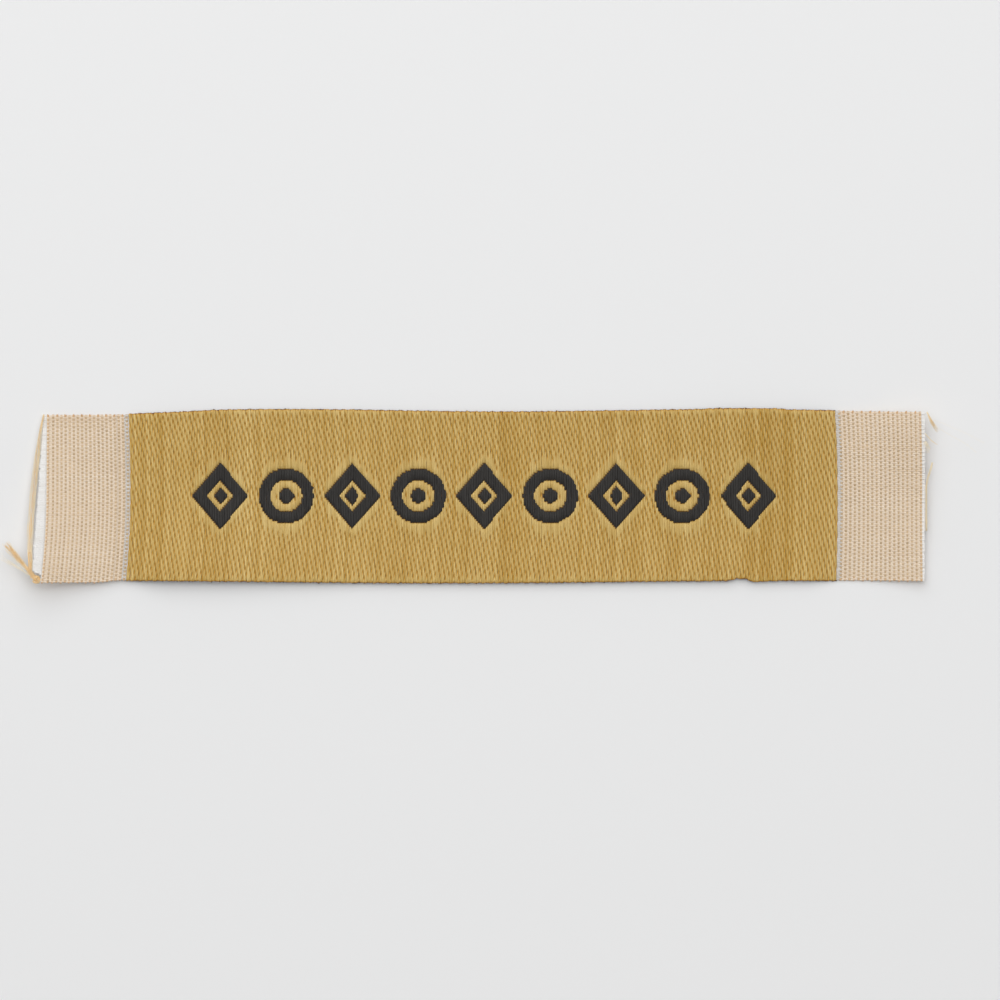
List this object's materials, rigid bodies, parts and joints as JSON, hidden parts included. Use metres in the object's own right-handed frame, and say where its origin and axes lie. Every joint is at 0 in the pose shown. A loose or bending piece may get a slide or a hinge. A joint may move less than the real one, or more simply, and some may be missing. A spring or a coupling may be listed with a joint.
{
  "type": "woven garment label",
  "caption": "Woven damask garment label: a gold field with a row of black geometric figures, and a thin beige flap at each end that folds under for sewing in.",
  "frame": {"origin": "middle of the field's back face, which is the face that lies on the garment", "axes": "+X along the label, +Y across it towards its upper edge, +Z out of its face"},
  "size_m": [0.0999, 0.0182, 0.0019],
  "materials": {
    "gold_weft": "satin",
    "black_weft": "satin",
    "white_warp": "satin",
    "flap_cloth": "matte",
    "fused_edge": "satin",
    "flap_edge": "satin",
    "loose_weft": "matte"
  },
  "bodies": {
    "field": {"back_figure_1_core": "gold_weft", "back_figure_1_diamond": "gold_weft", "back_figure_2_core": "gold_weft", "back_figure_2_ring": "gold_weft", "back_figure_3_core": "gold_weft", "back_figure_3_diamond": "gold_weft", "back_figure_4_core": "gold_weft", "back_figure_4_ring": "gold_weft", "back_figure_5_core": "gold_weft", "back_figure_5_diamond": "gold_weft", "back_figure_6_core": "gold_weft", "back_figure_6_ring": "gold_weft", "back_figure_7_core": "gold_weft", "back_figure_7_diamond": "gold_weft", "back_figure_8_core": "gold_weft", "back_figure_8_ring": "gold_weft", "back_figure_9_core": "gold_weft", "back_figure_9_diamond": "gold_weft", "black_back": "black_weft", "field_bottom_edge": "fused_edge", "field_top_edge": "fused_edge", "field_warp": "white_warp", "figure_1_core": "black_weft", "figure_1_diamond": "black_weft", "figure_2_core": "black_weft", "figure_2_ring": "black_weft", "figure_3_core": "black_weft", "figure_3_diamond": "black_weft", "figure_4_core": "black_weft", "figure_4_ring": "black_weft", "figure_5_core": "black_weft", "figure_5_diamond": "black_weft", "figure_6_core": "black_weft", "figure_6_ring": "black_weft", "figure_7_core": "black_weft", "figure_7_diamond": "black_weft", "figure_8_core": "black_weft", "figure_8_ring": "black_weft", "figure_9_core": "black_weft", "figure_9_diamond": "black_weft", "gold_face": "gold_weft"},
    "left_fold": {"left_fold_strip": "white_warp"},
    "left_flap": {"left_flap_bottom_edge": "flap_edge", "left_flap_cloth": "flap_cloth", "left_flap_top_edge": "flap_edge", "left_pulled_weft": "loose_weft", "left_thread_brush": "loose_weft", "left_thread_knot": "loose_weft", "left_warp_fringe": "white_warp"},
    "right_fold": {"right_fold_strip": "white_warp"},
    "right_flap": {"right_corner_fray": "loose_weft", "right_flap_bottom_edge": "flap_edge", "right_flap_cloth": "flap_cloth", "right_flap_top_edge": "flap_edge", "right_stray_weft": "loose_weft", "right_warp_fringe": "white_warp", "right_wisp": "loose_weft"}
  },
  "joints": [
    {"name": "left_fold_turn", "type": "hinge", "parent": "field", "child": "left_fold", "pos_m": [-0.03775, 0, 0.00018], "axis": [0, 1, 0], "range_deg": [-90, 60], "stiffness_Nm_per_rad": 0.00002},
    {"name": "left_flap_turn", "type": "hinge", "parent": "left_fold", "child": "left_flap", "pos_m": [-0.0385, 0, 0.00018], "axis": [0, 1, 0], "range_deg": [-90, 60], "stiffness_Nm_per_rad": 0.00002},
    {"name": "right_fold_turn", "type": "hinge", "parent": "field", "child": "right_fold", "pos_m": [0.03775, 0, 0.00018], "axis": [0, -1, 0], "range_deg": [-90, 60], "stiffness_Nm_per_rad": 0.00002},
    {"name": "right_flap_turn", "type": "hinge", "parent": "right_fold", "child": "right_flap", "pos_m": [0.0385, 0, 0.00018], "axis": [0, -1, 0], "range_deg": [-90, 60], "stiffness_Nm_per_rad": 0.00002}
  ],
  "couplings": [
    {"joint": "left_fold_turn", "follows": "left_flap_turn", "ratio": 1},
    {"joint": "right_fold_turn", "follows": "right_flap_turn", "ratio": 1}
  ]
}
